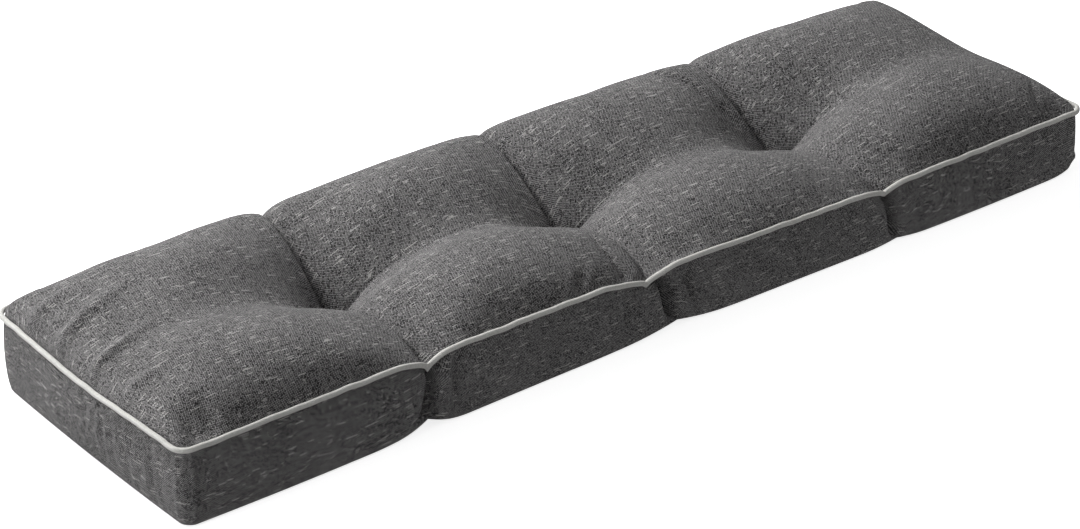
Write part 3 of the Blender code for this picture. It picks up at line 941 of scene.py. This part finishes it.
def cloth_material(name, pitch, tones, slub_tone, slub_limits, gap_shades, roughness, sheen):
    """Plain-weave cloth that reads the piece's weave coordinates, which are in metres."""
    material, tree, shader = new_material(name)

    def maths(operation, *values):
        return add(tree, "ShaderNodeMath", *values, settings={"operation": operation})

    def noise_along(row, lengthways, per_metre, salt):
        place = add(tree, "ShaderNodeCombineXYZ", maths("ADD", row, salt),
                    maths("MULTIPLY", lengthways, per_metre), salt)
        return add(tree, "ShaderNodeTexNoise", place, Scale=1.0, Detail=0.0)

    weave = add(tree, "ShaderNodeUVMap", settings={"uv_map": "weave"})
    split = add(tree, "ShaderNodeSeparateXYZ", weave)
    u, v = split, split.node.outputs[1]
    yarns = {}
    for yarn, sideways, lengthways, salt in (("warp", u, v, 3.7), ("weft", v, u, 9.1)):
        place = maths("DIVIDE", sideways, pitch)
        number = maths("FLOOR", place)
        row = maths("MULTIPLY", number, NOISE_STEP)
        streak = noise_along(row, lengthways, STREAKS_PER_METRE, salt)
        fleck = noise_along(row, lengthways, FLECKS_PER_METRE, salt + 5.0)
        tone = maths("ADD", maths("MULTIPLY", streak, STREAK_SHARE),
                     maths("MULTIPLY", fleck, FLECK_SHARE))
        # The rest of one half is added, so that the tone stays round one half.
        tone = maths("ADD", tone, round((1.0 - STREAK_SHARE - FLECK_SHARE) / 2, 6))
        slub_noise = noise_along(row, lengthways, SLUBS_PER_METRE[yarn], salt + 20.0)
        slub = add(tree, "ShaderNodeMapRange", slub_noise, From_Min=slub_limits[yarn],
                   From_Max=slub_limits[yarn] + SLUB_FADE)
        middle_of_yarn = maths("SUBTRACT", maths("FRACT", place), 0.5)
        off_middle = maths("ABSOLUTE", maths("MULTIPLY", middle_of_yarn, 2.0))
        roundness = maths("SUBTRACT", 1.0, off_middle)
        yarns[yarn] = (number, tone, slub, roundness)
    crossing = maths("ADD", yarns["warp"][0], yarns["weft"][0])
    parity = maths("ABSOLUTE", maths("MODULO", crossing, 2.0))
    # A slub is thick, so its yarn shows even where it passes under the other set.
    wants_weft = maths("ADD", parity, maths("MULTIPLY", yarns["weft"][2], 2.0))
    wants_weft = maths("SUBTRACT", wants_weft, maths("MULTIPLY", yarns["warp"][2], 2.0))
    weft_on_top = maths("GREATER_THAN", wants_weft, 0.5)

    def choose(warp_value, weft_value):
        return add(tree, "ShaderNodeMix", weft_on_top, None, warp_value, weft_value)

    def mix_colours(share, first, second, blend="MIX"):
        return add(tree, "ShaderNodeMix", share, *[None] * 5, first, second, out=2,
                   settings={"data_type": "RGBA", "blend_type": blend})

    tone, slub, roundness = [choose(yarns["warp"][n], yarns["weft"][n]) for n in (1, 2, 3)]
    cloud = add(tree, "ShaderNodeTexNoise", weave, Scale=CLOUD_SCALE, Detail=3.0)
    # The weft is spun a little lighter than the warp, which draws the fine check.
    for pattern, contrast in ((cloud, CLOUD_CONTRAST), (weft_on_top, CHECK_CONTRAST)):
        change = maths("MULTIPLY", maths("SUBTRACT", pattern, 0.5), contrast)
        tone = maths("ADD", tone, change)
    ramp = tree.nodes.new("ShaderNodeValToRGB")
    tree.links.new(tone, ramp.inputs[0])
    stops = ramp.color_ramp.elements
    stops.new(TONE_STOPS[2])
    for stop, position, colour in zip(stops, TONE_STOPS, tones):
        stop.position, stop.color = position, (*colour, 1.0)
    with_slubs = mix_colours(maths("MULTIPLY", slub, SLUB_COVER), ramp.outputs[0],
                             (*slub_tone, 1.0))
    # Painted shade and light: the colour is darkened between two yarns, where the cloth is in its
    # own shadow, and lightened on each yarn's middle, where it catches the light.
    shade = add(tree, "ShaderNodeMapRange", roundness, To_Min=gap_shades[0], To_Max=gap_shades[1])
    shaded = mix_colours(1.0, with_slubs, shade, "MULTIPLY")
    height = maths("ADD", roundness, maths("MULTIPLY", slub, SLUB_THICKNESS))
    bump = add(tree, "ShaderNodeBump", Strength=BUMP_STRENGTH, Distance=YARN_HEIGHT,
               Height=height)
    set_inputs(tree, shader, Base_Color=shaded, Normal=bump, Roughness=roughness,
               Specular_IOR_Level=0.2, Sheen_Weight=sheen, Sheen_Roughness=0.5)
    return material


COVER_TONES = ((0.006, 0.006, 0.006), (0.051, 0.048, 0.050), (0.40, 0.39, 0.39))
cover_cloth = cloth_material("cover_cloth", YARN_PITCH, COVER_TONES,
                             slub_tone=(0.50, 0.49, 0.47), slub_limits={"warp": 0.78, "weft": 0.71},
                             gap_shades=(0.30, 1.35), roughness=0.92, sheen=0.08)
cover.data.materials.append(cover_cloth)
print("cover cloth:", len(cover_cloth.node_tree.nodes), "nodes, yarns every", YARN_PITCH, "m")


# %% Welt cloth
WELT_PITCH = 0.0006        # its cloth is finer than the cover's
WELT_TONES = ((0.58, 0.57, 0.54), (0.72, 0.71, 0.68), (0.86, 0.85, 0.82))
welt_cloth = cloth_material("welt_cloth", WELT_PITCH, WELT_TONES,
                            slub_tone=(0.82, 0.81, 0.78), slub_limits={"warp": 0.80, "weft": 0.80},
                            gap_shades=(0.85, 1.08), roughness=0.85, sheen=0.05)
print("welt cloth:", len(welt_cloth.node_tree.nodes), "nodes")

# %% Welt: the cord
WELT_SIDES, RING_SPACING = 12, 0.003
welt_tree, welt_in = new_tree("welt_cord", [
    ("Radius", "NodeSocketFloat", WELT_RADIUS),
    ("Ring Spacing", "NodeSocketFloat", RING_SPACING),
    ("Sides", "NodeSocketInt", WELT_SIDES),
])
rings = add(welt_tree, "GeometryNodeResampleCurve", welt_in["Geometry"],
            Length=welt_in["Ring Spacing"], settings={"mode": "LENGTH"})
profile = add(welt_tree, "GeometryNodeCurvePrimitiveCircle",
              Resolution=welt_in["Sides"], Radius=welt_in["Radius"])
tube = add(welt_tree, "GeometryNodeCurveToMesh", rings, profile)
tube = add(welt_tree, "GeometryNodeSetShadeSmooth", tube)
finish_tree(welt_tree, tube, welt_cloth)
welt = grown(welt_path, welt_tree, "welt_cord")


def add_bias_weave(mesh):
    """Weave coordinates of a tube: along it and round it, turned 45 degrees for the bias cut."""
    corners = np.empty(len(mesh.loops), int)
    mesh.loops.foreach_get("vertex_index", corners)
    ring, side = np.divmod(corners.reshape(-1, 4), WELT_SIDES)
    last_ring = len(mesh.vertices) // WELT_SIDES - 1
    closes = np.ptp(ring, axis=1)[:, None] > 1
    ring = np.where(closes & (ring == 0), last_ring + 1, ring)
    wraps = np.ptp(side, axis=1)[:, None] > 1
    side = np.where(wraps & (side == 0), WELT_SIDES, side)
    along_it = ring * RING_SPACING
    round_it = side * 2.0 * np.pi * WELT_RADIUS / WELT_SIDES
    weave = np.stack([along_it + round_it, along_it - round_it], axis=-1) / np.sqrt(2.0)
    layer = mesh.uv_layers.new(name="weave")
    layer.uv.foreach_set("vector", weave.reshape(-1).astype(np.float32))


add_bias_weave(welt.data)
print("welt:", len(welt.data.polygons), "faces")

# %% [markdown]
# ## Fixing the pieces to the frame
#
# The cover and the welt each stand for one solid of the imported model, which is then hidden.

# %% Fix to the frame
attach(cover, "root")
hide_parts("cushion_body")
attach(welt, "root")
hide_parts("welt")
print("fixed to the frame:", cover.name, "and", welt.name)

# %% [markdown]
# ## The studio
#
# A wide, low soft light stands behind the cushion, so the back of each lobe is its brightest part
# and the pits fall into shade. A second light stands low to the left and lights the near end. The
# front gets only the pale surroundings and a weak far light, so the long boxing stays dark. The
# floor glows, as a photographer's lit table does, and stays white in the picture.

# %% Floor
FLOOR_HALF, FLOOR_GLOW = 12.0, 0.78
floor_mesh = bpy.data.meshes.new("floor")
floor_corners = [(side_x * FLOOR_HALF, side_y * FLOOR_HALF, 0)
                 for side_x, side_y in ((-1, -1), (1, -1), (1, 1), (-1, 1))]
floor_mesh.from_pydata(floor_corners, [], [(0, 1, 2, 3)])
floor = put_in_scene("floor", floor_mesh)
floor_paint, floor_tree, floor_shader = new_material("floor_paint")
set_inputs(floor_tree, floor_shader, Base_Color=(0.90, 0.90, 0.90, 1.0), Roughness=0.85,
           Emission_Color=(1.0, 1.0, 1.0, 1.0), Emission_Strength=FLOOR_GLOW)
floor_mesh.materials.append(floor_paint)
floor.visible_diffuse = False          # so that its glow doesn't light the cushion from below
print("floor:", 2 * FLOOR_HALF, "m square")

# %% Lights
SURROUNDINGS = 0.235       # the pale room's share of the light
world = bpy.data.worlds.new("studio")
world.use_nodes = True
set_inputs(world.node_tree, world.node_tree.nodes["Background"],
           Color=(1.0, 1.0, 1.0, 1.0), Strength=SURROUNDINGS)
bpy.context.scene.world = world
bpy.context.scene.view_settings.view_transform = "Standard"


def softbox(name, place, width, height, watts, aim=(0.0, 0.0, 0.05)):
    data = bpy.data.lights.new(name, "AREA")
    data.shape, data.size, data.size_y, data.energy = "RECTANGLE", width, height, watts
    light = put_in_scene(name, data)
    light.location = place
    light.rotation_euler = (Vector(aim) - Vector(place)).to_track_quat("-Z", "Y").to_euler()
    return light


softbox("key", (-0.75, 2.0, 1.8), 2.4, 0.6, 116.0)
softbox("left_fill", (-3.2, -0.3, 0.7), 1.0, 1.0, 32.0, aim=(-0.6, 0.0, 0.05))
softbox("far_fill", (3.2, -2.2, 1.2), 1.2, 1.2, 11.0)
